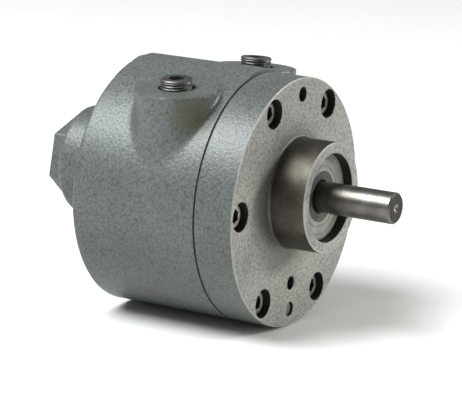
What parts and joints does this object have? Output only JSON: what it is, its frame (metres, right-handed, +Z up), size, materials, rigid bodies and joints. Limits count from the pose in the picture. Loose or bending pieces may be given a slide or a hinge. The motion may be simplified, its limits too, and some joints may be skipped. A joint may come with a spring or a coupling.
{
  "type": "rotary vane air motor",
  "caption": "Round hub-mounted vane air motor with an offset output shaft, plugged ports on top and a hex bearing cap behind; air pressure on its vanes turns the shaft.",
  "frame": {"origin": "on the shaft's axis, in the plane of the drive face, at the root of the pilot hub", "axes": "+X out along the shaft; +Z up, between the two ports; the casting's own axis is 5.2 mm below the shaft's, along -Z"},
  "size_m": [0.1927, 0.127, 0.1286],
  "materials": {
    "casting_paint": "grey hammertone enamel, semi-gloss",
    "gasket_fibre": "dark fibre sheet",
    "dark_steel": "oiled black oxide",
    "plug_zinc": "dull zinc plate",
    "seal_steel": "pressed steel, dull phosphate",
    "seal_rubber": "matt black nitrile",
    "shaft_steel": "ground, lightly tarnished",
    "rotor_iron": "machined grey iron",
    "vane_composite": "cloth-filled phenolic",
    "bearing_steel": "polished bearing steel",
    "cage_brass": "machined brass"
  },
  "bodies": {
    "housing": {"body_casting": "casting_paint", "drive_end_plate": "casting_paint", "plate_gasket": "gasket_fibre", "cover_screw_1": "dark_steel", "cover_screw_2": "dark_steel", "cover_screw_3": "dark_steel", "cover_screw_4": "dark_steel", "cover_screw_5": "dark_steel", "cover_screw_6": "dark_steel", "dowel_pin_1": "dark_steel", "dowel_pin_2": "dark_steel", "port_plug_a": "plug_zinc", "port_plug_b": "plug_zinc", "front_bearing_outer_race": "bearing_steel", "rear_bearing_outer_race": "bearing_steel", "front_bearing_ring": "dark_steel", "seal_case": "seal_steel", "seal_lip": "seal_rubber", "seal_garter_spring": "bearing_steel", "bearing_cap": "casting_paint", "cap_gasket": "gasket_fibre", "preload_spring": "bearing_steel"},
    "rotor_shaft": {"shaft": "shaft_steel", "rotor": "rotor_iron", "rotor_key": "dark_steel", "front_bearing_inner_race": "bearing_steel", "rear_bearing_inner_race": "bearing_steel", "rear_shaft_ring": "dark_steel"},
    "front_cage_set": {"front_bearing_cage": "cage_brass", "front_bearing_ball_1": "bearing_steel", "front_bearing_ball_2": "bearing_steel", "front_bearing_ball_3": "bearing_steel", "front_bearing_ball_4": "bearing_steel", "front_bearing_ball_5": "bearing_steel", "front_bearing_ball_6": "bearing_steel", "front_bearing_ball_7": "bearing_steel", "front_bearing_ball_8": "bearing_steel"},
    "rear_cage_set": {"rear_bearing_cage": "cage_brass", "rear_bearing_ball_1": "bearing_steel", "rear_bearing_ball_2": "bearing_steel", "rear_bearing_ball_3": "bearing_steel", "rear_bearing_ball_4": "bearing_steel", "rear_bearing_ball_5": "bearing_steel", "rear_bearing_ball_6": "bearing_steel", "rear_bearing_ball_7": "bearing_steel", "rear_bearing_ball_8": "bearing_steel"},
    "vane_slider_1": {"vane_1": "vane_composite"},
    "vane_slider_2": {"vane_2": "vane_composite"},
    "vane_slider_3": {"vane_3": "vane_composite"},
    "vane_slider_4": {"vane_4": "vane_composite"}
  },
  "joints": [
    {"name": "shaft_spin", "type": "hinge", "parent": "housing", "child": "rotor_shaft", "pos_m": [0, 0, 0], "axis": [1, 0, 0], "continuous": true},
    {"name": "front_cage_spin", "type": "hinge", "parent": "housing", "child": "front_cage_set", "pos_m": [-0.002, 0, 0], "axis": [1, 0, 0], "continuous": true},
    {"name": "rear_cage_spin", "type": "hinge", "parent": "housing", "child": "rear_cage_set", "pos_m": [-0.109, 0, 0], "axis": [1, 0, 0], "continuous": true},
    {"name": "vane_1_slide", "type": "slide", "parent": "rotor_shaft", "child": "vane_slider_1", "axis": [0, -0.7071, 0.7071], "range_m": [0, 0.0024]},
    {"name": "vane_2_slide", "type": "slide", "parent": "rotor_shaft", "child": "vane_slider_2", "axis": [0, -0.7071, -0.7071], "range_m": [0, 0.0024]},
    {"name": "vane_3_slide", "type": "slide", "parent": "rotor_shaft", "child": "vane_slider_3", "axis": [0, 0.7071, -0.7071], "range_m": [0, 0.0024]},
    {"name": "vane_4_slide", "type": "slide", "parent": "rotor_shaft", "child": "vane_slider_4", "axis": [0, 0.7071, 0.7071], "range_m": [0, 0.0024]}
  ],
  "couplings": [
    {"joint": "front_cage_spin", "follows": "shaft_spin", "ratio": 0.3877},
    {"joint": "rear_cage_spin", "follows": "shaft_spin", "ratio": 0.4077}
  ]
}
